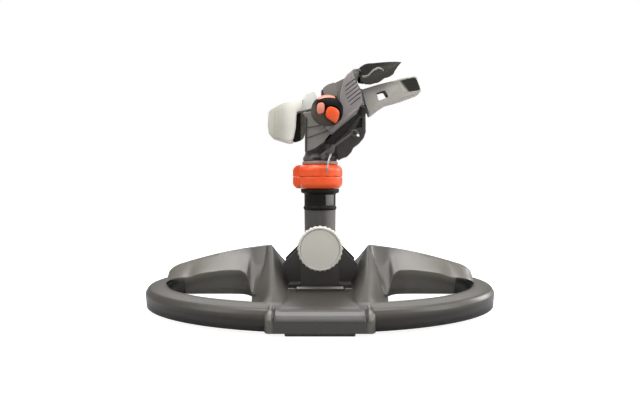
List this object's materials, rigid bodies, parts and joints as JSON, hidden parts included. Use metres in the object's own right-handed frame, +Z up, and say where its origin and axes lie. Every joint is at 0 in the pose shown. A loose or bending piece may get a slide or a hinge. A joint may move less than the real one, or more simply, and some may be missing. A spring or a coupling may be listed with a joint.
{
  "type": "impulse sprinkler",
  "caption": "Impulse sprinkler on a flat oval sled: tilting riser, sector rings, turning head with jet, swinging impulse arm and counterweight.",
  "frame": {"origin": "on the ground under the middle of the sled, on the riser's axis", "axes": "+Z up; +X along the sled's length, the way the jet points at rest; +Y from the clamp knob towards the hose inlet"},
  "size_m": [0.36, 0.226, 0.2536],
  "materials": {
    "shell_grey": "dark grey, satin",
    "cover_grey": "warm grey, satin",
    "black": "black, satin",
    "tube_grey": "dark grey, smooth",
    "knob_grey": "pale grey, matte",
    "arm_grey": "pale grey, satin",
    "weight_grey": "off-white, satin",
    "orange": "orange, satin",
    "cap_grey": "pale grey, satin",
    "steel": "bare",
    "seal_black": "matte"
  },
  "bodies": {
    "base": {"sled_base": "shell_grey", "foot_plate": "shell_grey", "base_screw_1": "steel", "base_screw_2": "steel", "base_screw_3": "steel", "base_screw_4": "steel", "pivot_bracket": "black", "pivot_spindle": "black", "inlet_plug": "black", "inlet_seal": "seal_black"},
    "tilt_knob": {"tilt_knob": "knob_grey", "tilt_knob_cap": "knob_grey"},
    "riser": {"riser_tube": "tube_grey", "spindle_seal_front": "seal_black", "spindle_seal_rear": "seal_black", "bearing_sleeve": "black", "ring_cap": "cap_grey"},
    "lower_ring": {"lower_ring": "orange"},
    "upper_ring": {"upper_ring": "orange"},
    "head": {"head_body": "shell_grey", "side_cover": "cover_grey", "nozzle": "black", "head_spindle": "steel", "thrust_washer": "arm_grey", "seal_washer": "seal_black", "arm_pin": "steel", "torsion_spring": "steel", "trip_bracket": "black", "trip_pin": "steel", "flap_pin": "steel"},
    "arm": {"impulse_arm": "arm_grey", "arm_bush": "seal_black", "counterweight": "weight_grey", "scoop_insert": "black"},
    "deflector": {"deflector_flap": "black"},
    "range_knob": {"range_knob": "black", "range_inlay_top": "orange", "range_inlay_left": "orange", "range_inlay_right": "orange", "range_stem": "steel"},
    "trip_lever": {"trip_lever": "arm_grey", "trip_wire": "steel"}
  },
  "joints": [
    {"name": "riser_tilt", "type": "hinge", "parent": "base", "child": "riser", "pos_m": [0, 0, 0.0643], "axis": [0, 1, 0], "range_deg": [-20, 20]},
    {"name": "tilt_knob_turn", "type": "hinge", "parent": "base", "child": "tilt_knob", "pos_m": [0, 0, 0.0643], "axis": [0, 1, 0], "range_deg": [0, 270]},
    {"name": "head_spin", "type": "hinge", "parent": "riser", "child": "head", "pos_m": [0, 0, 0.1506], "axis": [0, 0, 1], "range_deg": [-78, 230]},
    {"name": "lower_ring_turn", "type": "hinge", "parent": "riser", "child": "lower_ring", "pos_m": [0, 0, 0.1215], "axis": [0, 0, 1], "range_deg": [-230, 78]},
    {"name": "upper_ring_turn", "type": "hinge", "parent": "riser", "child": "upper_ring", "pos_m": [0, 0, 0.1338], "axis": [0, 0, 1], "range_deg": [-230, 78]},
    {"name": "arm_swing", "type": "hinge", "parent": "head", "child": "arm", "pos_m": [0.018, 0, 0.221], "axis": [-0.309, 0, 0.9511], "range_deg": [0, 24], "stiffness_Nm_per_rad": 0.012, "springref_deg": -17.19},
    {"name": "deflector_tilt", "type": "hinge", "parent": "head", "child": "deflector", "pos_m": [0.0372, 0, 0.2396], "axis": [0, 1, 0], "range_deg": [-14, 5]},
    {"name": "range_knob_turn", "type": "hinge", "parent": "head", "child": "range_knob", "pos_m": [0.007, -0.0228, 0.1978], "axis": [0, -0.9511, 0.309], "range_deg": [0, 270]},
    {"name": "trip_flip", "type": "hinge", "parent": "head", "child": "trip_lever", "pos_m": [0.0344, 0, 0.1774], "axis": [0, 1, 0], "range_deg": [-6, 6]}
  ]
}
